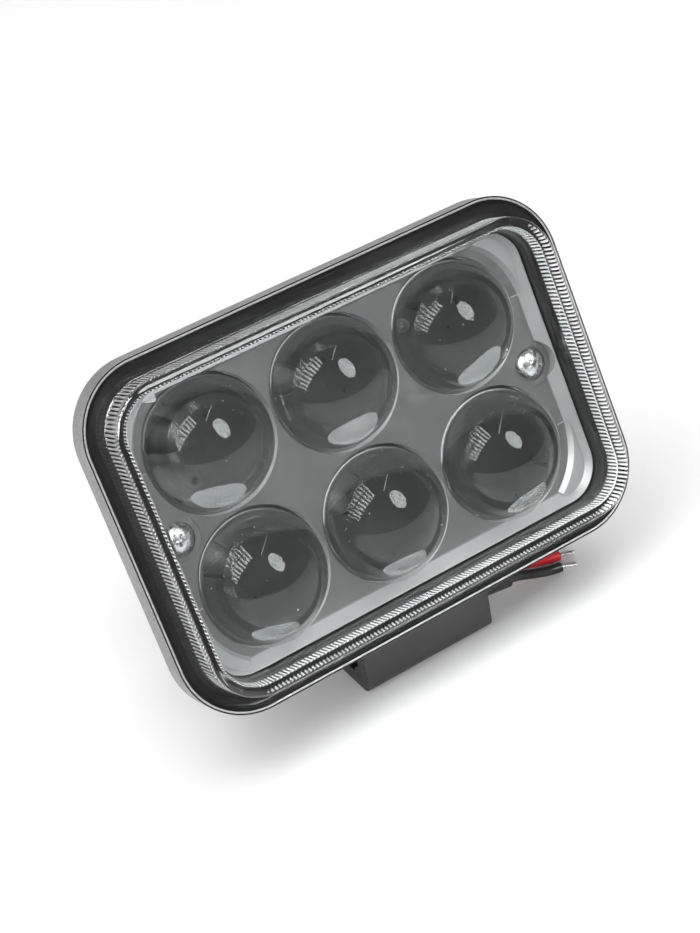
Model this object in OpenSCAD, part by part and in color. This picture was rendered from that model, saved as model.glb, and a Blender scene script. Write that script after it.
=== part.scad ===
// Six-lens LED fog light with a clear raised cover, a finned die-cast housing
// and a pressed-steel foot that it tilts on. Millimetres, +Z up, the lenses
// face -Y. The origin is the centre of the foot's bolt hole, on its underside.

/* [Housing] */
// Width of the front rim
rim_w = 95; // [94:0.5:100]
// Height of the front rim
rim_h = 65; // [64:0.5:70]
// Corner radius of the front rim
rim_r = 13; // [11.5:0.5:15]
// Depth of the rim's outer wall
rim_d = 5.5; // [5:0.5:7]
// Depth of the housing, rim to fin tips
housing_d = 42; // [40:1:46]
// Thickness of one cooling fin
fin_t = 2.2; // [1.6:0.2:2.8]
// Distance between neighbouring cooling fins
fin_pitch = 5.6; // [5.2:0.1:5.7]

/* [Cover and optics] */
// How far the clear cover stands proud of the rim
cover_h = 6.3; // [6:0.1:8]
// Wall thickness of the clear cover
cover_t = 1.6; // [1.2:0.1:1.8]
// Distance between neighbouring lens centres
lens_pitch = 25.4; // [25.2:0.1:25.8]
// Radius of each lens dome
lens_r = 12; // [11:0.1:12.1]
// Distance of the two tray screws from the middle
tray_screw_x = 37.2; // [36.5:0.1:37.5]

/* [Foot] */
// Width of the foot over its two arms
foot_w = 27.4; // [27:0.1:29]
// Length of the foot's base plate
foot_l = 37; // [36:0.5:40]
// Sheet thickness of the foot
foot_t = 3; // [2.5:0.1:3]
// Height of the foot's turned-up front edge
lip_h = 9.6; // [8:0.1:9.8]
// Diameter of the bolt hole in the base plate
foot_hole_d = 8.5; // [6:0.1:9]
// Height of the tilt axis above the foot's underside
pivot_h = 16.7; // [16.5:0.1:18]
// How far the lenses look up at rest, in degrees
tilt = 23.5; // [22:0.5:26]

/* [Hidden] */
$fn = 64;

rim_wall = 1.2;               // wall of the rim outside the cover's flange
flange_back = 2.2;            // where the cover's flange rests in the rim
cover_inset = 3.9;            // rim edge to the cover's raised wall
body_inset = 4.5;             // rim edge to the chamber's outer wall
cavity_inset = 5.5;           // rim edge to the chamber's inner wall
gasket = [1.7, 3.5, 1.2];     // insets from the rim's wall, and thickness
cavity_back = 17.1;           // front face of the chamber's back wall
body_back = 20.6;             // rear face of the chamber's back wall
pocket = [46, 24, 31];        // driver pocket: width, height, rear depth
pocket_z = 13;                // centre height of the driver pocket
recess_w = 43;                // gap between the fins for the foot
recess_top = -6;              // upper end of that gap
fin_area = [73.6, 51, 12];    // width, height and corner radius of the fins

plate_y = 6;                   // front face of the tray's plate
plate_t = 2.4;                // thickness of the tray's plate
bevel_d = 2;                  // depth of the tray's sloping border
bevel_w = 2.3;                // width of the tray's sloping border
tray_w = 83.6;                // outside width of the tray
tray_h = 53.6;                // outside height of the tray
tray_r = 7.2;                 // outside corner radius of the tray

lens_y = 8.4;                 // depth of the lens domes' centres
lens_flange_r = 12.6;         // flange behind each dome
lens_flange_t = 1.4;          // thickness of that flange
screw_seat = 6.6;             // where the tray screws' heads rest
tray_screw_l = 12.8;          // shank length of the tray screws
board_screw = [12.7, -3];     // place of the board's screws, mirrored in x
screw_hole_r = 1.3;           // radius of the tray and board screws' shanks
carrier_back = 15;            // rear of the lens carrier
board_t = 1.6;                // thickness of both circuit boards

driver_y = 27;                // front face of the driver board
driver_screw_x = 18;          // distance of its screws from the middle
lead_x = 1.1;                 // distance of the inner leads from the middle
grommet_z = 20;               // height of the cable exit above the middle
grommet_end = 52;             // rear end of the cable grommet
vent_x = 16;                  // distance of the breather vent from the middle
cable_d = 4.8;                // diameter of the cable's jacket
core_d = 1.9;                 // diameter of each insulated wire
strand_d = 0.9;               // diameter of each tinned end

pivot = [30, -17];            // tilt axis in the lamp: depth and height
pivot_y = 4.3;                // tilt axis in front of or behind the origin
lug_w = 19.6;                 // width of the lug under the housing
lug_r = 7;                    // radius of the lug round the tilt axis
bolt_r = 3;                   // shank radius of the pivot bolt
bush_r = 4;                   // outer radius of the bush in the lug
running_gap = 0.05;           // radial play between the bush and the bolt
arm_r = 7.5;                  // radius of the foot's arms at the bolt
washer_t = 1.2;               // thickness of the bolt's steel washers
friction_t = 0.6;             // thickness of the washers beside the lug
foot_front = -24;             // front face of the foot

lens_grid = [for (z = [0.5, -0.5], x = [-1, 0, 1]) [x, z] * lens_pitch];

// Cable route from the grommet, round behind the lamp and under it, to the
// jacket's cut end beside the foot
cable_route = [
    [0, 39.3, 41.8], [0, 42, 40.7], [-0.3, 47.7, 37], [-1.1, 51.8, 31.6],
    [-2.2, 53.8, 25.2], [-3.4, 53.6, 18.4], [-4.7, 51.2, 12.1], [-5.9, 46.7, 7],
    [-6.9, 40.9, 3.6], [-7.6, 34, 2.4], [-7.9, 27, 2.5], [-7.9, 20, 4],
    [-7.9, 12, 5.5], [-7.9, 3, 5.5], [-6.5, -4.8, 5.5], [-2.2, -11.4, 5.5],
    [4.3, -15.8, 5.5], [12, -17.4, 5.5], [17, -17.4, 4.9], [21.9, -17.4, 4.2]
];
red_route = [
    [22, -16.4, 4.3], [24.5, -16.2, 3.8], [27.3, -16.1, 3],
    [30, -16.1, 2.1], [32.6, -16.2, 1.4], [35, -16.4, 1]
];
black_route = [
    [22, -18.4, 4], [24.2, -18.5, 3.4], [26.5, -18.7, 2.6],
    [28.8, -18.9, 1.8], [31, -19.1, 1.2], [33.2, -19.4, 1]
];
red_tip_route = [[35, -16.4, 1], [36.6, -16.8, 0.8], [38.1, -17.3, 0.7]];
black_tip_route = [[33.2, -19.4, 1], [34.7, -19.9, 0.8], [36.1, -20.5, 0.7]];

// ---- shared shapes -------------------------------------------------------

// Rectangle with round corners
module rounded(w, h, r) {
    square([w - 2 * r, h], center = true);
    square([w, h - 2 * r], center = true);
    for (x = [-1, 1], y = [-1, 1])
        translate([x * (w / 2 - r), y * (h / 2 - r)]) circle(r);
}

// Draws a front view between two depths of the lamp, in the lamp's own frame
module slab(y0, y1) {
    translate([0, y1, 0]) rotate([90, 0, 0]) linear_extrude(y1 - y0) children();
}

// Round bar along the depth of the lamp
module bar(x, z, r, y0, y1) {
    translate([x, y1, z]) rotate([90, 0, 0]) cylinder(r = r, h = y1 - y0);
}

// Round bar across the width, from x0 to x1
module cross_bar(r, x0, x1) {
    translate([x0, 0, 0]) rotate([0, 90, 0]) cylinder(r = r, h = x1 - x0);
}

// Moves the lamp from its own frame to its place on the tilt axis
module on_pivot() {
    translate([0, pivot_y, pivot_h]) rotate([-tilt, 0, 0])
        translate([0, -pivot[0], -pivot[1]]) children();
}

// Tube swept along a route, a ring of points across each route point
function unit(v) = v / norm(v);
function heading(p, i) =
    unit(p[min(i + 1, len(p) - 1)] - p[max(i - 1, 0)]);
function side(t) = unit(abs(t[2]) > 0.9 ? cross(t, [1, 0, 0]) : cross(t, [0, 0, 1]));
function ring(c, t, r, n) = let (a = side(t), b = cross(a, t))
    [for (k = [0 : n - 1]) c + r * (cos(360 * k / n) * a + sin(360 * k / n) * b)];
module tube(route, d, n = 8) {
    rows = len(route);
    skin = [for (i = [0 : rows - 1]) each ring(route[i], heading(route, i), d / 2, n)];
    walls = [for (i = [0 : rows - 2], k = [0 : n - 1]) let (m = (k + 1) % n)
        [i * n + k, i * n + m, (i + 1) * n + m, (i + 1) * n + k]];
    start = [[for (k = [n - 1 : -1 : 0]) k]];
    end = [[for (k = [0 : n - 1]) (rows - 1) * n + k]];
    polyhedron(points = skin, faces = concat(walls, start, end), convexity = 4);
}

// Pan-head screw along the depth, its head's underside at y
module pan_screw(x, z, y, head_r, head_h, shank_r, shank_l) {
    difference() {
        bar(x, z, head_r, y - head_h, y);
        for (a = [0, 90])
            translate([x, y - head_h, z]) rotate([0, a, 0])
                cube([0.8, 2 * (head_h - 0.7), 3.2], center = true);
    }
    bar(x, z, shank_r, y, y + shank_l);
}

// ---- lamp ----------------------------------------------------------------

module rim_outline(inset) {
    rounded(rim_w - 2 * inset, rim_h - 2 * inset, rim_r - inset);
}

module fins() {
    half = fin_area[1] / 2;
    side_fins = [for (i = [0 : 2]) recess_w / 2 + 3 + i * fin_pitch];
    slab(body_back, housing_d) intersection() {
        rounded(fin_area[0], fin_area[1], fin_area[2]);
        union() {
            for (x = side_fins, s = [-1, 1])
                translate([s * x, 0]) square([fin_t, 2 * half], center = true);
            for (i = [-3 : 3])
                translate([i * fin_pitch - fin_t / 2, recess_top])
                    square([fin_t, half - recess_top]);
        }
    }
}

module lug() {
    slab_z = pivot[1] - lug_r;
    translate([-lug_w / 2, body_back, slab_z])
        cube([lug_w, pivot[0] - body_back, 2 * lug_r]);
    translate([0, pivot[0], pivot[1]]) cross_bar(lug_r, -lug_w / 2, lug_w / 2);
}

module housing_body() {
    difference() {
        union() {
            slab(0, rim_d) rim_outline(0);
            slab(rim_d, body_back) rim_outline(body_inset);
            slab(body_back, pocket[2] + 3) translate([0, pocket_z])
                rounded(pocket[0] + 6, pocket[1] + 6, 4);
            fins();
            lug();
            bar(0, grommet_z, 7, pocket[2], housing_d + 1);
            bar(vent_x, grommet_z, 5, pocket[2], housing_d - 2);
        }
        slab(-1, flange_back) rim_outline(rim_wall);
        slab(0, cavity_back) rim_outline(cavity_inset);
        difference() {
            slab(0, flange_back + gasket[2]) rim_outline(rim_wall + gasket[0]);
            slab(-1, flange_back + 2) rim_outline(rim_wall + gasket[1]);
        }
        slab(cavity_back - 1, pocket[2]) translate([0, pocket_z])
            rounded(pocket[0], pocket[1], 2);
        bar(0, grommet_z, 3.6, pocket[2] - 1, housing_d + 2);
        bar(vent_x, grommet_z, 2.5, pocket[2] - 1, housing_d);
        bar(vent_x, grommet_z, 4.6, housing_d - 2, housing_d + 1);
        translate([0, pivot[0], pivot[1]]) cross_bar(bush_r, -lug_w, lug_w);
        for (s = [-1, 1]) {
            bar(s * tray_screw_x, 0, screw_hole_r, cavity_back - 1, body_back - 1);
            bar(s * board_screw[0], board_screw[1], screw_hole_r,
                cavity_back - 1, body_back - 0.8);
        }
        for (s = [-1, 1])
            bar(s * driver_screw_x, pocket_z, 1, pocket[2] - 1, pocket[2] + 2);
    }
}

module cover_shape() {
    difference() {
        union() {
            slab(0.3, flange_back) rim_outline(rim_wall + 0.2);
            slab(-cover_h, flange_back) rim_outline(cover_inset);
        }
        slab(cover_t - cover_h, flange_back + 1) rim_outline(cover_inset + cover_t + 0.4);
    }
}

module gasket_shape() {
    slab(flange_back, flange_back + gasket[2]) difference() {
        rim_outline(rim_wall + gasket[0]);
        rim_outline(rim_wall + gasket[1]);
    }
}

module tray_outline(inset) {
    rounded(tray_w - 2 * inset, tray_h - 2 * inset, tray_r - inset);
}

// Sloping border as four short steps, each a little smaller than the last
module tray_border(steps) {
    for (i = [0 : steps - 1]) {
        y = plate_y - bevel_d + i * bevel_d / steps;
        slab(y, y + bevel_d / steps) difference() {
            tray_outline(0);
            tray_outline(0.1 + (i + 0.5) * bevel_w / steps);
        }
    }
}

module tray_shape() {
    plate_back = plate_y + plate_t;
    difference() {
        union() {
            tray_border(5);
            slab(plate_y, plate_back) tray_outline(0);
        }
        for (c = lens_grid) bar(c[0], c[1], lens_r + 0.5, 0, plate_back + 1);
        for (s = [-1, 1]) {
            bar(s * tray_screw_x, 0, 3, 0, screw_seat);
            bar(s * tray_screw_x, 0, 1.6, 0, plate_back + 1);
        }
    }
}

module lens_shape(c) {
    translate([c[0], 0, c[1]]) rotate([-90, 0, 0]) rotate_extrude() {
        intersection() {
            translate([0, lens_y]) circle(lens_r);
            translate([0, -cover_h]) square([lens_r + 1, cover_h + lens_y]);
        }
        translate([0, lens_y]) square([lens_flange_r, lens_flange_t]);
    }
}

module carrier_shape() {
    front = lens_y + lens_flange_t;
    difference() {
        slab(front, carrier_back) tray_outline(0.6);
        for (c = lens_grid) bar(c[0], c[1], 10.8, front - 1, carrier_back + 1);
        for (s = [-1, 1]) {
            bar(s * tray_screw_x, 0, 1.6, front - 1, carrier_back + 1);
            bar(s * board_screw[0], board_screw[1], 3, front - 1, carrier_back + 1);
        }
    }
}

module board_shape() {
    difference() {
        slab(carrier_back, carrier_back + board_t) tray_outline(0.8);
        for (s = [-1, 1]) {
            bar(s * tray_screw_x, 0, 1.6, carrier_back - 1, carrier_back + 2);
            bar(s * board_screw[0], board_screw[1], 1.6, carrier_back - 1, carrier_back + 2);
        }
    }
}

module pad_shape() {
    difference() {
        slab(carrier_back + board_t, cavity_back) tray_outline(2);
        for (s = [-1, 1]) {
            bar(s * tray_screw_x, 0, 1.6, carrier_back, cavity_back + 1);
            bar(s * board_screw[0], board_screw[1], 1.6, carrier_back, cavity_back + 1);
        }
        slab(carrier_back, cavity_back + 1) translate([0, pocket_z])
            rounded(pocket[0], pocket[1], 2);
    }
}

module chip_shape(c) {
    slab(carrier_back - 0.8, carrier_back) translate(c) square(3.5, center = true);
    translate([c[0], carrier_back - 0.8, c[1]]) rotate([90, 0, 0])
        rotate_extrude() intersection() {
            circle(1.5);
            square(2);
        }
}

module driver_board_shape() {
    back = driver_y + board_t;
    difference() {
        slab(driver_y, back) translate([0, pocket_z]) square([42, 21], center = true);
        for (s = [-1, 1]) bar(s * driver_screw_x, pocket_z, 1.2, driver_y - 1, back + 1);
    }
    for (s = [-1, 1]) difference() {
        bar(s * driver_screw_x, pocket_z, 2.4, back, pocket[2]);
        bar(s * driver_screw_x, pocket_z, 1.2, driver_y - 1, pocket[2] + 1);
    }
}

module inductor_shape() {
    difference() {
        bar(-8, pocket_z, 5, driver_y - 7, driver_y);
        difference() {
            bar(-8, pocket_z, 6, driver_y - 5.8, driver_y - 1.2);
            bar(-8, pocket_z, 4, driver_y - 6, driver_y - 1);
        }
    }
}

module grommet_shape() {
    difference() {
        union() {
            bar(0, grommet_z, 3.6, pocket[2] - 0.5, housing_d + 1);
            bar(0, grommet_z, 5, pocket[2] - 1.5, pocket[2]);
            bar(0, grommet_z, 4.6, housing_d + 1, housing_d + 3.5);
            translate([0, housing_d + 3.5, grommet_z]) rotate([-90, 0, 0])
                cylinder(r1 = 4.4, r2 = 3.2, h = grommet_end - housing_d - 3.5);
        }
        for (s = [-1, 1])
            bar(s * lead_x, grommet_z, core_d / 2, pocket[2] - 2, grommet_end - 3);
    }
}

// ---- foot ----------------------------------------------------------------

// Side view of an arm: upright, with a round end at the bolt
module arm_outline() {
    translate([pivot_y - arm_r, foot_t]) square([2 * arm_r, pivot_h - foot_t]);
    translate([pivot_y, pivot_h]) circle(arm_r);
}

// Side view of the base plate with its turned-up front edge
module base_outline() {
    bend_r = foot_t - 0.5;
    translate([foot_front + bend_r, 0]) square([foot_l - bend_r, foot_t]);
    translate([foot_front, bend_r]) square([foot_t, lip_h - bend_r]);
    translate([foot_front + bend_r, bend_r]) circle(bend_r);
    translate([foot_front + foot_t, foot_t]) difference() {
        square(1);
        translate([1, 1]) circle(1);
    }
}

// Turns a side view (y, z) into a solid between x0 and x1
module side_slab(x0, x1) {
    translate([x0, 0, 0]) rotate([90, 0, 90]) linear_extrude(x1 - x0) children();
}

module foot_shape() {
    difference() {
        union() {
            side_slab(-foot_w / 2, foot_w / 2) base_outline();
            for (s = [-1, 1])
                translate([s * (foot_w - foot_t) / 2, 0, 0])
                    side_slab(-foot_t / 2, foot_t / 2) arm_outline();
        }
        translate([0, 0, -1]) cylinder(d = foot_hole_d, h = foot_t + 2);
        translate([0, pivot_y, pivot_h]) cross_bar(bolt_r + 0.1, -foot_w, foot_w);
    }
}

module bolt_shape() {
    end = foot_w / 2 + washer_t;
    translate([0, pivot_y, pivot_h]) {
        cross_bar(bolt_r, -end - 6.5, end);
        difference() {
            cross_bar(5, end, end + 5);
            translate([end + 2.2, 0, 0]) rotate([0, 90, 0])
                cylinder(r = 2.9, h = 4, $fn = 6);
        }
    }
}

module nut_shape() {
    end = foot_w / 2 + washer_t;
    translate([-end - 5, pivot_y, pivot_h]) rotate([0, 90, 0]) difference() {
        cylinder(r = 5.77, h = 5, $fn = 6);
        translate([0, 0, -1]) cylinder(r = bolt_r, h = 7);
    }
}

module washer(r_out, x0, x1) {
    translate([0, pivot_y, pivot_h]) difference() {
        cross_bar(r_out, x0, x1);
        cross_bar(bolt_r, x0 - 1, x1 + 1);
    }
}

// ---- sub-parts -----------------------------------------------------------

module housing() { color([0.07, 0.07, 0.07]) on_pivot() housing_body(); }
module cover_lens() { color([0.85, 0.88, 0.9, 0.35]) on_pivot() cover_shape(); }
module cover_gasket() { color([0.1, 0.1, 0.1]) on_pivot() gasket_shape(); }
module reflector_tray() { color([0.45, 0.45, 0.46]) on_pivot() tray_shape(); }
module tray_screws() {
    color("silver") on_pivot() for (s = [-1, 1])
        pan_screw(s * tray_screw_x, 0, screw_seat, 2.7, 1.9, screw_hole_r,
            tray_screw_l);
}
module projector_lens(i) {
    color([0.8, 0.82, 0.84, 0.5]) on_pivot() lens_shape(lens_grid[i]);
}
module lens_carrier() { color([0.1, 0.1, 0.1]) on_pivot() carrier_shape(); }
module led_board() { color("white") on_pivot() board_shape(); }
module led_chip(i) { color([0.95, 0.85, 0.3]) on_pivot() chip_shape(lens_grid[i]); }
module board_screws() {
    color("silver") on_pivot() for (s = [-1, 1])
        pan_screw(s * board_screw[0], board_screw[1], carrier_back, 2.4, 1.6,
            screw_hole_r, 4.4);
}
module thermal_pad() { color([0.6, 0.65, 0.7]) on_pivot() pad_shape(); }
module driver_board() { color([0.1, 0.35, 0.2]) on_pivot() driver_board_shape(); }
module driver_inductor() { color([0.25, 0.25, 0.25]) on_pivot() inductor_shape(); }
module driver_capacitor() {
    color([0.15, 0.15, 0.2]) on_pivot() bar(8, pocket_z + 4, 4, driver_y - 8.5, driver_y);
}
module driver_chip() {
    color([0.1, 0.1, 0.1]) on_pivot()
        slab(driver_y - 1.6, driver_y)
            translate([8, pocket_z - 5.5]) square([6, 5], center = true);
}
module driver_screws() {
    color("silver") on_pivot() for (s = [-1, 1])
        pan_screw(s * driver_screw_x, pocket_z, driver_y, 2, 1.4, 1, 5.8);
}
module inner_leads() {
    color([0.7, 0.1, 0.1]) on_pivot() for (s = [-1, 1])
        bar(s * lead_x, grommet_z, core_d / 2 - 0.05, driver_y + board_t, grommet_end - 3);
}
module breather_vent() {
    color([0.15, 0.15, 0.15]) on_pivot() {
        bar(vent_x, grommet_z, 2.5, pocket[2], housing_d - 2);
        bar(vent_x, grommet_z, 4.2, housing_d - 2, housing_d + 0.5);
    }
}
module cable_grommet() { color([0.1, 0.1, 0.1]) on_pivot() grommet_shape(); }
module pivot_bush() {
    color("silver") on_pivot() translate([0, pivot[0], pivot[1]]) difference() {
        cross_bar(bush_r, -lug_w / 2, lug_w / 2);
        cross_bar(bolt_r + running_gap, -lug_w, lug_w);
    }
}
module foot_bracket() { color([0.12, 0.12, 0.12]) foot_shape(); }
module pivot_bolt() { color([0.3, 0.3, 0.3]) bolt_shape(); }
module pivot_nut() { color("silver") nut_shape(); }
module bolt_washers() {
    color("silver") {
        washer(6, foot_w / 2, foot_w / 2 + washer_t);
        washer(6, -foot_w / 2 - washer_t, -foot_w / 2);
    }
}
module friction_washers() {
    inside = foot_w / 2 - foot_t;
    color([0.2, 0.2, 0.2]) {
        washer(6, inside - friction_t, inside);
        washer(6, -inside, friction_t - inside);
    }
}
module supply_cable() { color([0.05, 0.05, 0.05]) tube(cable_route, cable_d); }
module red_wire() { color([0.8, 0.05, 0.05]) tube(red_route, core_d); }
module black_wire() { color([0.05, 0.05, 0.05]) tube(black_route, core_d); }
module red_wire_tip() { color("silver") tube(red_tip_route, strand_d); }
module black_wire_tip() { color("silver") tube(black_tip_route, strand_d); }

housing();
cover_lens();
cover_gasket();
reflector_tray();
tray_screws();
projector_lens(0);  // projector_lens_1
projector_lens(1);  // projector_lens_2
projector_lens(2);  // projector_lens_3
projector_lens(3);  // projector_lens_4
projector_lens(4);  // projector_lens_5
projector_lens(5);  // projector_lens_6
lens_carrier();
led_board();
led_chip(0);  // led_chip_1
led_chip(1);  // led_chip_2
led_chip(2);  // led_chip_3
led_chip(3);  // led_chip_4
led_chip(4);  // led_chip_5
led_chip(5);  // led_chip_6
board_screws();
thermal_pad();
driver_board();
driver_inductor();
driver_capacitor();
driver_chip();
driver_screws();
inner_leads();
breather_vent();
cable_grommet();
pivot_bush();
foot_bracket();
pivot_bolt();
pivot_nut();
bolt_washers();
friction_washers();
supply_cable();
red_wire();
black_wire();
red_wire_tip();
black_wire_tip();
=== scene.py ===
import math
import random

import bmesh
import bpy
from mathutils import Matrix, Vector


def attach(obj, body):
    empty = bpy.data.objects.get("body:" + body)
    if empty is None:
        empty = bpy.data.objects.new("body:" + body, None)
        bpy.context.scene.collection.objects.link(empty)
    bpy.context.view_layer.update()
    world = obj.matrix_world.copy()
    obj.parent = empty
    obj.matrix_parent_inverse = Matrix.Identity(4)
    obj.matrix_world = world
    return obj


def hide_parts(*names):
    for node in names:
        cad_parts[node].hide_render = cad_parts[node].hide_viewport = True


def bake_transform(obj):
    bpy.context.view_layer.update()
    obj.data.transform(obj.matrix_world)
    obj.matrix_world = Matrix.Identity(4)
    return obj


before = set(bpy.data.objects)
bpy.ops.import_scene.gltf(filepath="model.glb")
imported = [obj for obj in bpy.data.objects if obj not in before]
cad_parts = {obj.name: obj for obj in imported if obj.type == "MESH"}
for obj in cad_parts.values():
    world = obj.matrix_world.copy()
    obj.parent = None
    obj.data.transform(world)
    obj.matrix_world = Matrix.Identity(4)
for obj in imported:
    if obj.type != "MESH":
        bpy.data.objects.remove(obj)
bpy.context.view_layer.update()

# Sizes are in millimetres and places in the lamp's own frame (x right, y back,
# z up, origin in the middle of the rim's front) until a mesh is finished.
MM = 0.001
RIM_W, RIM_H, RIM_R = 95, 65, 13
CAVITY_INSET = 5.5
TRAY_INSET = 5.7
PLATE_Y, PLATE_T = 6, 2.4         # the tray's plate
BEVEL_W, BEVEL_D = 2.3, 2         # the tray's sloping border
LENS_PITCH = 25.4
LENS_R, LENS_Y = 12, 8.4
LENS_FLANGE_R, LENS_FLANGE_T = 12.6, 1.4
LENS_HOLLOW, LENS_HOLLOW_R = 1.0, 8.8   # the hollow in each dome's back
FLUTE = 0.13                      # half depth of the cover's flutes
SCREW_X, SCREW_SEAT, SCREW_L = 37.2, 6.6, 12.8
GROMMET_Z, GROMMET_END, HOUSING_D = 20, 52, 42
PIVOT = Vector((0, 4.3, 16.7))
PIVOT_IN_LAMP = Vector((0, 30, -17))
TILT = math.radians(23.5)
CABLE_D, CORE_D, STRAND_D = 4.8, 1.9, 0.3

LAMP = (Matrix.Scale(MM, 4) @ Matrix.Translation(PIVOT)
        @ Matrix.Rotation(-TILT, 4, "X") @ Matrix.Translation(-PIVOT_IN_LAMP))
TO_LAMP = LAMP.inverted()
ROW = Matrix.Scale(MM, 4)
LENSES = [(x * LENS_PITCH, z * LENS_PITCH) for z in (0.5, -0.5) for x in (-1, 0, 1)]

# The cable's route in the row's frame, from the grommet to its cut end.
CABLE = [
    (0, 39.3, 41.8), (0, 42, 40.7), (-0.3, 47.7, 37), (-1.1, 51.8, 31.6),
    (-2.2, 53.8, 25.2), (-3.4, 53.6, 18.4), (-4.7, 51.2, 12.1), (-5.9, 46.7, 7),
    (-6.9, 40.9, 3.6), (-7.6, 34, 2.5), (-7.9, 27, 2.6), (-7.9, 20, 4),
    (-7.9, 12, 5.5), (-7.9, 3, 5.5), (-6.5, -4.8, 5.5), (-2.2, -11.4, 5.5),
    (4.3, -15.8, 5.5), (12, -17.4, 5.5), (17, -17.4, 4.9), (21.9, -17.4, 4.2),
]
RED = [
    (22, -16.4, 4.3), (24.5, -16.2, 3.8), (27.3, -16.1, 3),
    (30, -16.1, 2.1), (32.6, -16.2, 1.4), (35, -16.4, 1),
]
BLACK = [
    (22, -18.4, 4), (24.2, -18.5, 3.4), (26.5, -18.7, 2.6),
    (28.8, -18.9, 1.8), (31, -19.1, 1.2), (33.2, -19.4, 1),
]
RED_TIP = [(35, -16.4, 1), (36.6, -16.8, 0.8), (38.1, -17.3, 0.7)]
BLACK_TIP = [(33.2, -19.4, 1), (34.7, -19.9, 0.8), (36.1, -20.5, 0.7)]


# ---- camera --------------------------------------------------------------

def make_camera():
    data = bpy.data.cameras.new("camera")
    data.lens = 73.3
    data.clip_start = 0.01
    camera = bpy.data.objects.new("camera", data)
    camera.location = (-0.1223, -0.2593, 0.2310)
    camera.rotation_euler = [math.radians(a) for a in (54.64, 9.29, -32.28)]
    bpy.context.collection.objects.link(camera)
    bpy.context.scene.camera = camera


make_camera()


# ---- meshes --------------------------------------------------------------

def mesh_of(name, points, faces, into):
    mesh = bpy.data.meshes.new(name)
    mesh.from_pydata([tuple(p) for p in points], [], faces)
    mesh.transform(into)
    mesh.validate()
    return mesh


def add(name, mesh, material, body, nodes, smooth):
    """Puts a finished mesh in the scene on its body, in place of its CAD nodes."""
    piece = bpy.data.objects.new(name, mesh)
    bpy.context.collection.objects.link(piece)
    mesh.materials.clear()
    mesh.materials.append(material)
    shade(piece, smooth)
    if body:
        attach(piece, body)
    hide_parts(*nodes)
    return piece


def shade(piece, angle):
    """Smooth shading with sharp edges kept where faces meet at more than angle, and
    broad flat faces kept flat beside their rounded edges."""
    form = bmesh.new()
    form.from_mesh(piece.data)
    bmesh.ops.recalc_face_normals(form, faces=form.faces)
    limit = math.radians(angle)
    for face in form.faces:
        face.smooth = True
    for edge in form.edges:
        edge.smooth = len(edge.link_faces) == 2 and edge.calc_face_angle(0) < limit
    form.to_mesh(piece.data)
    form.free()
    normals = piece.modifiers.new("normals", "WEIGHTED_NORMAL")
    normals.keep_sharp = True


def join_rings(rings, closed_rows=False, cap_start=False, cap_end=False):
    """Quads between rings of equal length; returns points and faces."""
    count = len(rings[0])
    points = [p for ring in rings for p in ring]
    faces = []
    rows = len(rings) if closed_rows else len(rings) - 1
    for i in range(rows):
        a, b = i * count, (i + 1) % len(rings) * count
        for k in range(count):
            m = (k + 1) % count
            faces.append((a + k, a + m, b + m, b + k))
    if cap_start:
        faces.append(tuple(range(count))[::-1])
    if cap_end:
        faces.append(tuple((len(rings) - 1) * count + k for k in range(count)))
    return points, faces


def rim_ring(inset, y, across, corner, flute=0):
    """Points round the rim's outline, inset, with flutes four points long."""
    w, h = RIM_W / 2 - inset, RIM_H / 2 - inset
    r = RIM_R - inset
    up = round(across * (RIM_H - 2 * RIM_R) / (RIM_W - 2 * RIM_R))
    ring = []
    corners = [(w - r, h - r, 0), (r - w, h - r, 90), (r - w, r - h, 180), (w - r, r - h, 270)]
    for index, (cx, cz, start) in enumerate(corners):
        for k in range(corner):
            a = math.radians(start + 90 * k / corner)
            ring.append((cx + r * math.cos(a), cz + r * math.sin(a), a))
        nx, nz, _ = corners[(index + 1) % 4]
        a = math.radians(start + 90)
        steps = across if index % 2 == 0 else up
        for k in range(steps):
            t = k / steps
            ring.append((cx + (nx - cx) * t + r * math.cos(a),
                         cz + (nz - cz) * t + r * math.sin(a), a))
    out = []
    for k, (x, z, a) in enumerate(ring):
        ripple = flute * math.cos(math.pi * k / 2)
        out.append((x + ripple * math.cos(a), y, z + ripple * math.sin(a)))
    return out


def lathe(profile, centre, steps):
    """Rings of a profile of (radius, along) turned about the depth through centre."""
    angles = [2 * math.pi * k / steps for k in range(steps)]
    return [[(centre[0] + radius * math.cos(a), centre[1] + along,
              centre[2] + radius * math.sin(a)) for a in angles]
            for radius, along in profile]


def smooth_line(points, steps=6):
    """A Catmull-Rom curve through the points."""
    pts = [Vector(p) for p in points]
    pts = [2 * pts[0] - pts[1]] + pts + [2 * pts[-1] - pts[-2]]
    line = []
    for i in range(1, len(pts) - 2):
        p0, p1, p2, p3 = pts[i - 1:i + 3]
        for k in range(steps):
            t = k / steps
            line.append(0.5 * (2 * p1 + (p2 - p0) * t + (2 * p0 - 5 * p1 + 4 * p2 - p3) * t ** 2
                               + (3 * p1 - p0 - 3 * p2 + p3) * t ** 3))
    line.append(pts[-2])
    return line


def frames_along(line):
    """A side and an up vector at each point, carried along without twisting."""
    side = None
    out = []
    for i, point in enumerate(line):
        ahead = (line[min(i + 1, len(line) - 1)] - line[max(i - 1, 0)]).normalized()
        if side is None:
            side = ahead.cross(Vector((0, 0, 1))).normalized()
        side = (side - side.dot(ahead) * ahead).normalized()
        out.append((point, side, ahead.cross(side)))
    return out


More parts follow.
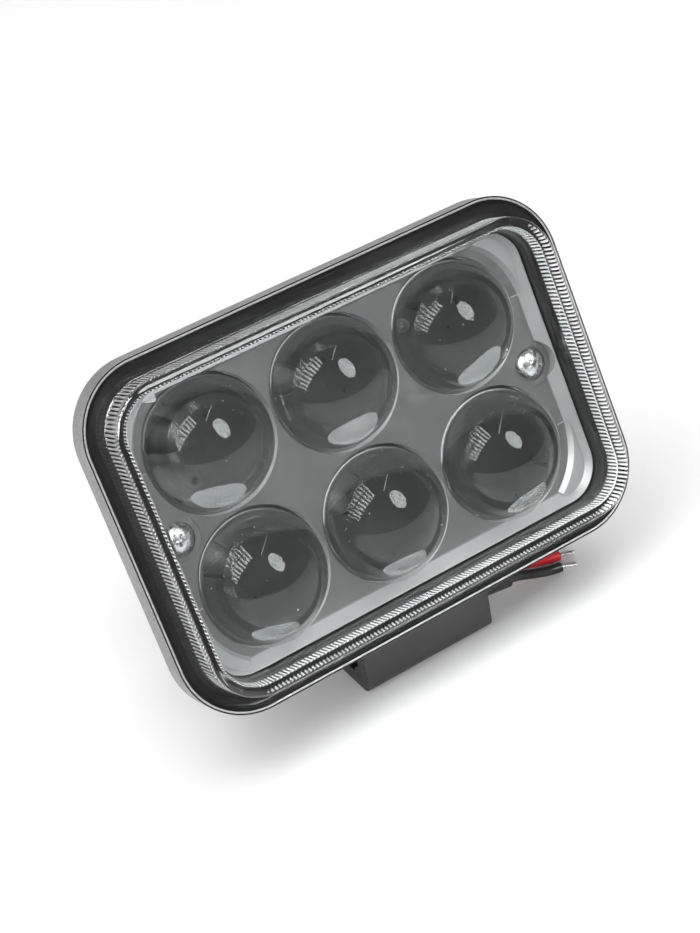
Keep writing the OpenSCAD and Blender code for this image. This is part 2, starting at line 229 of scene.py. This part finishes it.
def tube_rings(line, radius, steps, shift=(0, 0), turns=0):
    """Rings of a tube round a line; shift and turns wind it about the line."""
    rings = []
    stations = frames_along(line)
    for i, (point, side, up) in enumerate(stations):
        wind = 2 * math.pi * turns * i / (len(stations) - 1)
        c, s = math.cos(wind), math.sin(wind)
        middle = (point + side * (shift[0] * c - shift[1] * s)
                  + up * (shift[0] * s + shift[1] * c))
        rings.append([tuple(middle + side * radius * math.cos(2 * math.pi * k / steps)
                            + up * radius * math.sin(2 * math.pi * k / steps))
                      for k in range(steps)])
    return rings


def merged(parts):
    """Several (points, faces) as one."""
    points, faces = [], []
    for some_points, some_faces in parts:
        offset = len(points)
        points += some_points
        faces += [tuple(offset + k for k in face) for face in some_faces]
    return points, faces


def cut(mesh, cutters, operation="DIFFERENCE"):
    """The mesh with closed cutter meshes taken away, or joined on."""
    target = bpy.data.objects.new("cut", mesh)
    bpy.context.collection.objects.link(target)
    tools = []
    for cutter in cutters:
        tool = bpy.data.objects.new("tool", cutter)
        bpy.context.collection.objects.link(tool)
        tools.append(tool)
        modifier = target.modifiers.new("cut", "BOOLEAN")
        modifier.operation = operation
        modifier.solver = "EXACT"
        modifier.object = tool
    result = baked(target)
    for item in [target, *tools]:
        bpy.data.objects.remove(item, do_unlink=True)
    return result


def baked(item):
    """The item's mesh with its modifiers applied."""
    bpy.context.view_layer.update()
    depsgraph = bpy.context.evaluated_depsgraph_get()
    return bpy.data.meshes.new_from_object(item.evaluated_get(depsgraph))


def softened(node, width):
    """The CAD node's mesh with its flat faces joined and its edges rounded."""
    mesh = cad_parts[node].data.copy()
    form = bmesh.new()
    form.from_mesh(mesh)
    bmesh.ops.remove_doubles(form, verts=form.verts, dist=2e-6)
    bmesh.ops.dissolve_limit(form, angle_limit=math.radians(0.5), verts=form.verts,
                             edges=form.edges)
    form.to_mesh(mesh)
    form.free()
    item = bpy.data.objects.new("soft", mesh)
    bpy.context.collection.objects.link(item)
    bevel = item.modifiers.new("bevel", "BEVEL")
    bevel.width = width * MM
    bevel.segments = 2
    bevel.limit_method = "ANGLE"
    bevel.angle_limit = math.radians(35)
    bevel.use_clamp_overlap = True
    result = baked(item)
    bpy.data.objects.remove(item, do_unlink=True)
    return result


# ---- materials -----------------------------------------------------------

class Look:
    """A material with one principled shader and helpers for its noise."""

    def __init__(self, name, colour, roughness, metallic=0.0, **more):
        self.material = bpy.data.materials.new(name)
        self.material.use_nodes = True
        self.tree = self.material.node_tree
        self.shader = self.tree.nodes["Principled BSDF"]
        self.shader.inputs["Base Color"].default_value = (*colour, 1)
        self.shader.inputs["Roughness"].default_value = roughness
        self.shader.inputs["Metallic"].default_value = metallic
        for socket, value in more.items():
            self.shader.inputs[socket.replace("_", " ")].default_value = value

    def noise(self, scale, detail, stretch=(1, 1, 1)):
        """Noise with scale features per millimetre."""
        where = self.tree.nodes.new("ShaderNodeTexCoord")
        mapping = self.tree.nodes.new("ShaderNodeMapping")
        mapping.inputs["Scale"].default_value = [s / MM for s in stretch]
        texture = self.tree.nodes.new("ShaderNodeTexNoise")
        texture.inputs["Scale"].default_value = scale
        texture.inputs["Detail"].default_value = detail
        texture.inputs["Roughness"].default_value = 0.55
        self.tree.links.new(where.outputs["Object"], mapping.inputs["Vector"])
        self.tree.links.new(mapping.outputs["Vector"], texture.inputs["Vector"])
        return texture.outputs["Fac"]

    def spread(self, value, low, high, start=0.3, end=0.7):
        """Maps a noise to a range of numbers."""
        node = self.tree.nodes.new("ShaderNodeMapRange")
        node.inputs["From Min"].default_value = start
        node.inputs["From Max"].default_value = end
        node.inputs["To Min"].default_value = low
        node.inputs["To Max"].default_value = high
        self.tree.links.new(value, node.inputs["Value"])
        return node.outputs["Result"]

    def colours(self, value, stops):
        """Maps a noise to colours."""
        ramp = self.tree.nodes.new("ShaderNodeValToRGB")
        while len(ramp.color_ramp.elements) < len(stops):
            ramp.color_ramp.elements.new(0.5)
        for element, (place, colour) in zip(ramp.color_ramp.elements, stops):
            element.position = place
            element.color = (*colour, 1)
        self.tree.links.new(value, ramp.inputs["Fac"])
        self.tree.links.new(ramp.outputs["Color"], self.shader.inputs["Base Color"])

    def roughen(self, value, low, high, start=0.3, end=0.7):
        """Lets a noise set the roughness."""
        self.tree.links.new(self.spread(value, low, high, start, end),
                            self.shader.inputs["Roughness"])

    def bump(self, value, height, strength=1.0):
        """Bumps of a height in millimetres."""
        node = self.tree.nodes.new("ShaderNodeBump")
        node.inputs["Strength"].default_value = strength
        node.inputs["Distance"].default_value = height * MM
        self.tree.links.new(value, node.inputs["Height"])
        self.tree.links.new(node.outputs["Normal"], self.shader.inputs["Normal"])


def grey(value):
    return (value, value, value)


def scaled(colour, factor):
    return tuple(factor * c for c in colour)


def speckled(name, base, fleck, height):
    """Powder coat: fine bumps, small changes of tone."""
    look = Look(name, base, 0.4)
    fine = look.noise(2.2, detail=3)
    look.colours(fine, [(0.35, base), (0.75, fleck)])
    look.roughen(look.noise(0.15, detail=5), 0.34, 0.46)
    look.bump(fine, height)
    return look.material


def gloss_black():
    look = Look("gloss_black", grey(0.006), 0.09)
    streaks = look.noise(0.25, detail=6, stretch=(0.3, 3, 0.3))
    look.roughen(streaks, 0.05, 0.2)
    look.bump(look.noise(0.35, detail=2), 0.01)
    return look.material


def clear_plastic():
    look = Look("clear_plastic", (0.93, 0.95, 0.95), 0.0, Transmission_Weight=1.0, IOR=1.46)
    look.roughen(look.noise(0.08, detail=6), 0.0, 0.03)
    look.bump(look.noise(0.12, detail=1), 0.01, strength=0.4)
    return look.material


def rib_highlight_plastic():
    """Whitish, part-diffuse clear plastic for the crests of the cover's flutes: a painted
    highlight on each rib, with a little frosting like moulded plastic.
    """
    look = Look("rib_highlight_plastic", grey(0.93), 0.15, Transmission_Weight=0.6, IOR=1.46)
    look.roughen(look.noise(0.3, detail=4), 0.1, 0.25)
    return look.material


def lens_resin():
    """Resin tinted grey, a painted shade that darkens the view into each dome and dims its bright
    crescents, with a little fine dust on it.
    """
    look = Look("lens_resin", (0.77, 0.78, 0.78), 0.0, Transmission_Weight=1.0, IOR=1.49)
    look.roughen(look.noise(1.4, detail=2), 0.0, 0.5, 0.74, 0.8)
    look.bump(look.noise(0.1, detail=1), 0.0015, strength=0.4)
    return look.material


def tray_plastic(name, tone):
    look = Look(name, grey(tone), 0.36, 0.2)
    look.colours(look.noise(0.05, detail=5), [(0.3, grey(0.9 * tone)), (0.7, grey(1.1 * tone))])
    look.roughen(look.noise(0.6, detail=4), 0.32, 0.48)
    look.bump(look.noise(3.0, detail=2), 0.008)
    return look.material


def brushed_metal(name, value, rough):
    look = Look(name, grey(value), rough, 1.0)
    brushed = look.noise(1.2, detail=5, stretch=(1, 0.2, 1))
    look.colours(look.noise(0.3, detail=4), [(0.3, grey(value * 0.82)), (0.7, grey(value))])
    look.roughen(brushed, rough - 0.08, rough + 0.1)
    look.bump(brushed, 0.006)
    return look.material


def satin_paint():
    look = Look("satin_paint", grey(0.022), 0.45)
    tone = look.noise(0.06, detail=4)
    look.colours(tone, [(0.3, grey(0.019)), (0.7, grey(0.025))])
    look.roughen(look.noise(0.5, detail=5), 0.38, 0.5)
    look.bump(look.noise(1.6, detail=2), 0.01)
    return look.material


def rubber(name, base, rough):
    look = Look(name, base, rough)
    tone = look.noise(0.2, detail=4)
    look.colours(tone, [(0.3, scaled(base, 0.85)), (0.7, scaled(base, 1.2))])
    look.roughen(look.noise(0.9, detail=4), rough - 0.1, rough + 0.1)
    look.bump(look.noise(2.4, detail=3), 0.012)
    return look.material


def matt_plastic(name, base, rough):
    look = Look(name, base, rough)
    tone = look.noise(0.12, detail=4)
    look.colours(tone, [(0.3, scaled(base, 0.88)), (0.7, scaled(base, 1.1))])
    look.roughen(look.noise(1.1, detail=3), rough - 0.08, rough + 0.08)
    look.bump(look.noise(2.0, detail=2), 0.01)
    return look.material


POWDER = speckled("grained_coat", grey(0.12), grey(0.26), 0.03)
GLOSS = gloss_black()
CLEAR = clear_plastic()
RIB_HIGHLIGHT = rib_highlight_plastic()
RESIN = lens_resin()
# The tray plastic in two tones; the darker one is painted shade on the flat front faces.
TRAY = tray_plastic("tray_plastic", 0.15)
TRAY_SHADED = tray_plastic("tray_plastic_painted_shade", 0.058)
ZINC = brushed_metal("bright_zinc", 0.72, 0.24)
TIN = brushed_metal("tinned_strands", 0.8, 0.3)
DARK_STEEL = brushed_metal("blackened_steel", 0.12, 0.35)
PAINT = satin_paint()
SEAL = rubber("black_seal", grey(0.005), 0.55)
SEAL.node_tree.nodes["Principled BSDF"].inputs["Specular IOR Level"].default_value = 0.1
GROMMET = rubber("grommet_rubber", grey(0.022), 0.5)
JACKET = rubber("cable_jacket", grey(0.016), 0.42)
CORE_BLACK = rubber("black_insulation", grey(0.012), 0.35)
CORE_RED = rubber("red_insulation", (0.55, 0.012, 0.018), 0.35)
BLACK_PLASTIC = matt_plastic("black_plastic", grey(0.012), 0.45)
BOARD = matt_plastic("board_black", grey(0.014), 0.35)
BOARD_GREEN = matt_plastic("board_green", (0.02, 0.12, 0.05), 0.35)
PAD = matt_plastic("silicone_pad", (0.42, 0.47, 0.52), 0.7)
# The LED chips near black, not phosphor yellow: painted shade that keeps them unseen inside the
# dark domes.
CHIP_SHADE = matt_plastic("phosphor_painted_shade", grey(0.016), 0.6)
# Light grey for the rim's lip: a painted highlight along its edge.
LIP_HIGHLIGHT = speckled("lip_painted_highlight", grey(0.22), grey(0.36), 0.02)


# ---- cable and wires -----------------------------------------------------

def make_cable():
    line = smooth_line(CABLE)
    points, faces = join_rings(tube_rings(line, CABLE_D / 2, 24), cap_start=True, cap_end=True)
    cable = add("cable", mesh_of("cable", points, faces, ROW), JACKET, None,
                ["supply_cable"], 50)
    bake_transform(cable)
    for name, route, material, node, slot in (
            ("red_core", RED, CORE_RED, "red_wire", "wire_red"),
            ("black_core", BLACK, CORE_BLACK, "black_wire", "wire_black")):
        rings = tube_rings(smooth_line(route), CORE_D / 2, 20)
        points, faces = join_rings(rings, cap_start=True, cap_end=True)
        add(name, mesh_of(name, points, faces, ROW), material, "foot",
                         [node], 50)
    for name, route, node in (("red_strands", RED_TIP, "red_wire_tip"),
                              ("black_strands", BLACK_TIP, "black_wire_tip")):
        add(name, strands(name, route), TIN, "foot", [node], 60)


def strands(name, route):
    """Seven fine strands twisted round each other, their ends not quite level."""
    line = smooth_line(route, 8)
    draw = random.Random(name)
    parts = []
    offsets = [(0, 0)] + [(STRAND_D * math.cos(a), STRAND_D * math.sin(a))
                          for a in (math.radians(60 * k) for k in range(6))]
    for offset in offsets:
        used = line[:len(line) - draw.choice((0, 0, 1, 2))]
        rings = tube_rings(used, STRAND_D * 0.52, 8, offset, turns=0.8)
        parts.append(join_rings(rings, cap_start=True, cap_end=True))
    points, faces = merged(parts)
    return mesh_of(name, points, faces, ROW)


make_cable()


# ---- optics --------------------------------------------------------------

def make_cover():
    """The clear cover: a flange, a raised wall with flutes outside and a flat front."""
    flange = [(1.4, 2.24), (1.4, 0.45), (1.5, 0.3), (1.58, 0.3), (3.62, 0.3), (3.7, 0.3),
              (3.85, 0.2)]
    wall = [(4, 0.05), (4, -1.2), (4, -2.4), (4, -3.6), (4, -4.8)]
    shoulder = [(3.95, -4.95), (3.95, -5.45), (4.05, -5.85), (4.3, -6.15), (4.7, -6.3),
                (5.4, -6.3)]
    inside = [(9, -6.3), (9, -4.7), (6.4, -4.7), (5.85, -4.55), (5.6, -4.1), (5.6, -3.4),
              (5.6, 1.2), (5.6, 2.24)]
    rings = [rim_ring(inset, y, 368, 76, FLUTE if (inset, y) in wall else 0)
             for inset, y in flange + wall + shoulder + inside]
    points, faces = join_rings(rings, closed_rows=True)
    count = len(rings[0])
    front = len(flange + wall + shoulder) * count
    faces = [f for f in faces if not (min(f) >= front and max(f) < front + 2 * count)]
    faces.append(tuple(range(front, front + count)))
    faces.append(tuple(range(front + count, front + 2 * count))[::-1])
    cover = add("clear_cover", mesh_of("clear_cover", points, faces, LAMP), CLEAR, "lamp_head",
                ["cover_lens"], 35)
    cover.visible_shadow = False
    cover.data.materials.append(RIB_HIGHLIGHT)
    # The flutes' crests get the whitish plastic as a painted highlight on each rib; the valleys
    # stay clear.
    first = len(flange) * count
    for face in cover.data.polygons[first:first + (len(wall) - 1) * count]:
        if face.index % count % 4 in (3, 0):    # the crests
            face.material_index = 1


def make_tray():
    """The grey tray: a sloping border and a plate with six openings."""
    back = PLATE_Y + PLATE_T
    front = PLATE_Y - BEVEL_D
    foot = TRAY_INSET + BEVEL_W
    profile = [(TRAY_INSET, back), (TRAY_INSET, front + 0.12), (TRAY_INSET + 0.1, front),
               (TRAY_INSET + 0.25, front + 0.05), (foot - 0.1, PLATE_Y - 0.12),
               (foot + 0.15, PLATE_Y), (foot + 1.5, PLATE_Y)]
    rings = [rim_ring(inset, y, 60, 24) for inset, y in profile]
    points, faces = join_rings(rings, cap_start=True, cap_end=True)
    mesh = cut(mesh_of("tray", points, faces, Matrix.Identity(4)), tray_corners(), "UNION")
    holes = []
    for x, z in LENSES:
        holes.append(lathed("hole", [(LENS_R + 0.5, -9), (LENS_R + 0.5, back + 1)], (x, 0, z), 96))
    for side in (-1, 1):
        x = side * SCREW_X
        holes.append(lathed("pocket", [(4.5, -3), (4.3, PLATE_Y + 0.15)], (x, 0, 0), 64))
        holes.append(lathed("seat", [(3.3, 0), (3.2, SCREW_SEAT)], (x, 0, 0), 48))
        holes.append(lathed("bore", [(1.6, 0), (1.6, back + 1)], (x, 0, 0), 24))
    mesh = cut(mesh, holes)
    mesh.transform(LAMP)
    tray = add("tray", mesh, TRAY, "lamp_head", ["reflector_tray"], 25)
    # Faces looking straight out take the darker tone: painted shade, which leaves the sloping
    # border and raised corners lighter as painted light.
    tray.data.materials.append(TRAY_SHADED)
    for face in tray.data.polygons:
        turned = TO_LAMP.to_3x3() @ face.normal
        if turned.y < -0.98 and (TO_LAMP @ face.center).y > PLATE_Y - 0.1:
            face.material_index = 1


def tray_corners():
    """Raised corners, each hollowed round its dome, with a short rib at one end."""
    parts = []
    for x, z in (LENSES[0], LENSES[2], LENSES[3], LENSES[5]):
        across, up = math.copysign(1, x), math.copysign(1, z)
        centre = (RIM_W / 2 - RIM_R, RIM_H / 2 - RIM_R)
        reach = RIM_R - TRAY_INSET - 1
        rings = []
        for radius, y in ((14.1, PLATE_Y + 0.3), (14.1, PLATE_Y - 0.02), (14.8, PLATE_Y - 1)):
            inner = [(abs(x) + radius * math.cos(a), abs(z) + radius * math.sin(a))
                     for a in (math.radians(2.75 * k) for k in range(21))]
            outer = [(centre[0] + reach * math.cos(a), centre[1] + reach * math.sin(a))
                     for a in (math.radians(90 - 7.5 * k) for k in range(13))]
            rings.append([(across * u, y, up * v) for u, v in inner + outer])
        parts.append(closed_mesh("corner", *join_rings(rings, cap_start=True, cap_end=True)))
        rib = [(12.7, -0.12), (14.9, -0.12), (14.9, 0.12), (12.7, 0.12)]
        rings = [[(across * (abs(x) + u), y, z + v) for u, v in rib]
                 for y in (PLATE_Y + 0.3, PLATE_Y - 0.3)]
        parts.append(closed_mesh("rib", *join_rings(rings, cap_start=True, cap_end=True)))
    return parts


def closed_mesh(name, points, faces):
    mesh = bpy.data.meshes.new(name)
    mesh.from_pydata(points, [], faces)
    form = bmesh.new()
    form.from_mesh(mesh)
    bmesh.ops.recalc_face_normals(form, faces=form.faces)
    form.to_mesh(mesh)
    form.free()
    return mesh


def lathed(name, profile, centre, steps, into=None):
    points, faces = join_rings(lathe(profile, centre, steps), cap_start=True, cap_end=True)
    mesh = closed_mesh(name, points, faces)
    if into:
        mesh.transform(into)
    return mesh


def make_lens(index, x, z):
    """A solid dome with a thin flange behind it and a polished, slightly hollow back, blackened
    round the hollow as painted shade.
    """
    curve = [(LENS_R * math.sin(math.radians(a)), LENS_Y - LENS_R * math.cos(math.radians(a)))
             for a in [0.4] + list(range(3, 91, 3))]
    back = LENS_Y + LENS_FLANGE_T - 0.05
    flange = [(LENS_FLANGE_R - 0.05, LENS_Y + 0.05), (LENS_FLANGE_R, LENS_Y + 0.12),
              (LENS_FLANGE_R, back - 0.1), (LENS_FLANGE_R - 0.1, back)]
    hollow = [(r, back - LENS_HOLLOW * (1 - (r / LENS_HOLLOW_R) ** 2))
              for r in (LENS_HOLLOW_R, 8, 7, 6, 5, 4, 3, 2, 1, 0.4)]
    name = f"lens_dome_{index}"
    mesh = lathed(name, curve + flange + hollow, (x, 0, z), 96, into=LAMP)
    dome = add(name, mesh, RESIN, "lamp_head", [f"projector_lens_{index}"], 30)
    dome.visible_shadow = False
    # The back's outer ring, round the hollow, is black: painted shade that darkens each dome's
    # outer ring and cuts the bright crescents there.
    dome.data.materials.append(BLACK_PLASTIC)
    for face in dome.data.polygons:
        spot = TO_LAMP @ face.center
        if spot.y > back - 0.01 and math.hypot(spot.x - x, spot.z - z) > LENS_HOLLOW_R:
            face.material_index = 1


def make_tray_screws():
    """Pan-head screws with a cross recess."""
    parts = []
    for side, turn in ((-1, 20), (1, 65)):
        x = side * SCREW_X
        head = [(0.05, -1.9), (1.2, -1.82), (2.0, -1.55), (2.5, -1.0), (2.7, -0.35),
                (2.68, -0.05), (2.6, 0), (1.3, 0), (1.3, SCREW_L), (0.1, SCREW_L)]
        screw = lathed("screw", head, (x, SCREW_SEAT, 0), 48)
        blades = []
        for k in (0, 90):
            box = bmesh.new()
            bmesh.ops.create_cube(box, size=1)
            for v in box.verts:
                deep = v.co.y > 0
                v.co = Vector((v.co.x * (1.1 if deep else 3.4), v.co.y * 2.4,
                               v.co.z * (0.42 if deep else 0.72)))
            box.transform(Matrix.Translation((x, SCREW_SEAT - 1.9, 0))
                          @ Matrix.Rotation(math.radians(turn + k), 4, "Y"))
            blade = bpy.data.meshes.new("blade")
            box.to_mesh(blade)
            box.free()
            blades.append(blade)
        parts.append(cut(screw, blades))
    points, faces = merged([([tuple(v.co) for v in m.vertices],
                             [tuple(p.vertices) for p in m.polygons]) for m in parts])
    add("tray_screw_pair", mesh_of("screws", points, faces, LAMP), ZINC, "lamp_head",
        ["tray_screws"], 30)


make_cover()
make_tray()
for number, (lens_x, lens_z) in enumerate(LENSES, 1):
    make_lens(number, lens_x, lens_z)
make_tray_screws()


# ---- housing and foot ----------------------------------------------------

def make_softened():
    """CAD pieces that keep their shape, with their edges rounded."""
    pieces = [
        ("casting", "housing", 0.35, POWDER, "lamp_head", "black_casting"),
        ("bent_foot", "foot_bracket", 0.3, PAINT, "foot", "painted_steel"),
        ("bolt", "pivot_bolt", 0.25, DARK_STEEL, "foot", "black_steel"),
        ("nut", "pivot_nut", 0.25, ZINC, "foot", "bright_steel"),
        ("steel_washers", "bolt_washers", 0.12, ZINC, "foot", "bright_steel"),
    ]
    made = [add(name, softened(node, width), material, body, [node], 30)
            for name, node, width, material, body, slot in pieces]
    casting = made[0].data
    paint_casting(casting)
    paint_lip_highlight(casting)


def rim_inset(x, z):
    """Distance of a place inside the rim's outline."""
    u, v = abs(x) - (RIM_W / 2 - RIM_R), abs(z) - (RIM_H / 2 - RIM_R)
    return RIM_R - math.hypot(max(u, 0), max(v, 0)) - min(max(u, v), 0)


def paint_casting(mesh):
    """Gloss black inside the rim and the chamber, and a light grey painted highlight on the lip's
    front edge.
    """
    mesh.materials.append(GLOSS)
    mesh.materials.append(LIP_HIGHLIGHT)
    for face in mesh.polygons:
        corners = [TO_LAMP @ mesh.vertices[k].co for k in face.vertices]
        inset = sum(rim_inset(p.x, p.z) for p in corners) / len(corners)
        depth = sum(p.y for p in corners) / len(corners)
        # The lip's front faces take the painted highlight.
        if depth < 0.36 and inset < 0.34:
            face.material_index = 2
        elif (depth < 3.6 and inset > 0.3) or (depth < 17.3 and inset > CAVITY_INSET - 0.1):
            face.material_index = 1


def paint_lip_highlight(mesh):
    """A light grey strip along the lip's rounded edge and the flat face beside it: a painted
    highlight standing in for the edge's catch light.
    """
    profile = [(0.3, 0.2), (0.08, 0.2), (0.08, 0.1), (0.2, 0.02), (0.34, -0.025),
               (0.56, -0.025), (0.6, 0.0), (0.6, 0.05)]
    rings = [rim_ring(inset, y, 60, 24) for inset, y in profile]
    strip = mesh_of("strip", *join_rings(rings, closed_rows=True), LAMP)
    form = bmesh.new()
    form.from_mesh(strip)
    bmesh.ops.recalc_face_normals(form, faces=form.faces)
    for face in form.faces:
        face.material_index = 2
        face.smooth = True
    form.from_mesh(mesh)
    form.to_mesh(mesh)
    form.free()


def make_grommet():
    """Tapered strain relief with ribs that let the cable bend."""
    start = HOUSING_D + 1
    profile = [(3.6, start - 12.5), (3.6, start), (4.5, start), (4.6, start + 0.3),
               (4.6, start + 2.2), (4.4, start + 2.5)]
    ribs = 4
    length = GROMMET_END - start - 2.5
    for k in range(ribs):
        y = start + 2.5 + length * k / ribs
        r = 4.3 - 1.2 * k / ribs
        step = length / ribs
        profile += [(r - 0.6, y + 0.15), (r - 0.65, y + 0.45 * step), (r - 0.1, y + 0.55 * step),
                    (r - 0.25, y + step - 0.1)]
    profile += [(3.05, GROMMET_END - 0.05), (2.9, GROMMET_END), (1, GROMMET_END)]
    add("strain_relief", lathed("strain_relief", profile, (0, 0, GROMMET_Z), 48, into=LAMP),
        GROMMET, "lamp_head", ["cable_grommet"], 35)


make_softened()
make_grommet()

PLAIN = {
    "cover_gasket": SEAL, "lens_carrier": BLACK_PLASTIC, "led_board": BOARD,
    "board_screws": ZINC, "thermal_pad": PAD, "driver_board": BOARD_GREEN,
    "driver_inductor": BLACK_PLASTIC, "driver_capacitor": ZINC, "driver_chip": BLACK_PLASTIC,
    "driver_screws": ZINC, "inner_leads": CORE_RED, "breather_vent": BLACK_PLASTIC,
    "pivot_bush": ZINC, "friction_washers": BLACK_PLASTIC,
    **{f"led_chip_{n}": CHIP_SHADE for n in range(1, 7)},
}
for node_name, node_material in PLAIN.items():
    node_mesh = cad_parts[node_name].data
    node_mesh.materials.clear()
    node_mesh.materials.append(node_material)


# ---- stage ---------------------------------------------------------------

def make_stage():
    floor = bmesh.new()
    bmesh.ops.create_grid(floor, x_segments=1, y_segments=1, size=2.5)
    mesh = bpy.data.meshes.new("floor")
    floor.to_mesh(mesh)
    floor.free()
    look = Look("floor_white", grey(0.86), 0.75)
    mesh.materials.append(look.material)
    item = bpy.data.objects.new("floor", mesh)
    item.location.z = -0.0001
    bpy.context.collection.objects.link(item)


def soft_light(name, place, size, power, gives, shape="RECTANGLE"):
    """An area light turned to face the lamp, for shading or for reflections."""
    data = bpy.data.lights.new(name, "AREA")
    data.shape = shape
    data.size, data.size_y = size
    data.energy = power
    light = bpy.data.objects.new(name, data)
    light.location = place
    aim = Vector((0, 0, 0.04)) - Vector(place)
    light.rotation_euler = aim.to_track_quat("-Z", "Y").to_euler()
    light.visible_diffuse = gives == "shading"
    light.visible_glossy = light.visible_transmission = gives == "reflections"
    bpy.context.collection.objects.link(light)
    return light


def slatted_window(power):
    """Two wide panes of narrow strips at the left, leaning over the lamp."""
    low, high = Vector((-1.05, 0, 0.42)), Vector((-0.27, 0, 1.12))
    along = Vector((0, 1, 0))
    back = along.cross(low - high).normalized()
    turn = Matrix((along, back.cross(along), back)).transposed().to_euler()
    strips, strip_height = 9, 0.066
    for near, far in ((-0.42, -0.12), (-0.08, 0.38)):
        for k in range(strips):
            middle = low.lerp(high, (k + 0.5) / strips) + along * (near + far) / 2
            strip = soft_light("window_strip", middle, (far - near, strip_height),
                               power * (far - near) / strips, "reflections")
            strip.rotation_euler = turn


def make_lights():
    world = bpy.data.worlds.new("studio")
    world.use_nodes = True
    background = world.node_tree.nodes["Background"]
    background.inputs["Color"].default_value = (1, 1, 1, 1)
    background.inputs["Strength"].default_value = 0.13
    bpy.context.scene.world = world
    soft_light("overhead", (0.1, 0.1, 1.3), (1.4, 1.4), 14.5, "shading")
    soft_light("key", (-0.68, 0, 0.73), (0.8, 1.0), 5, "shading")
    soft_light("fill", (-0.2, -0.95, 0.4), (0.8, 0.5), 7, "shading")
    soft_light("side", (0.9, 0.45, 0.4), (0.6, 0.6), 2, "shading")
    slatted_window(80)
    soft_light("backdrop", (-1.1, 0.75, 0.3), (1.5, 0.6), 5, "reflections")
    soft_light("oval", (0.25, -0.63, 0.64), (0.36, 0.54), 7, "reflections", "ELLIPSE")
    soft_light("tube", (0.2, -0.18, 0.9), (0.6, 0.015), 0.6, "reflections")


make_stage()
make_lights()
bpy.context.scene.view_settings.view_transform = "Standard"
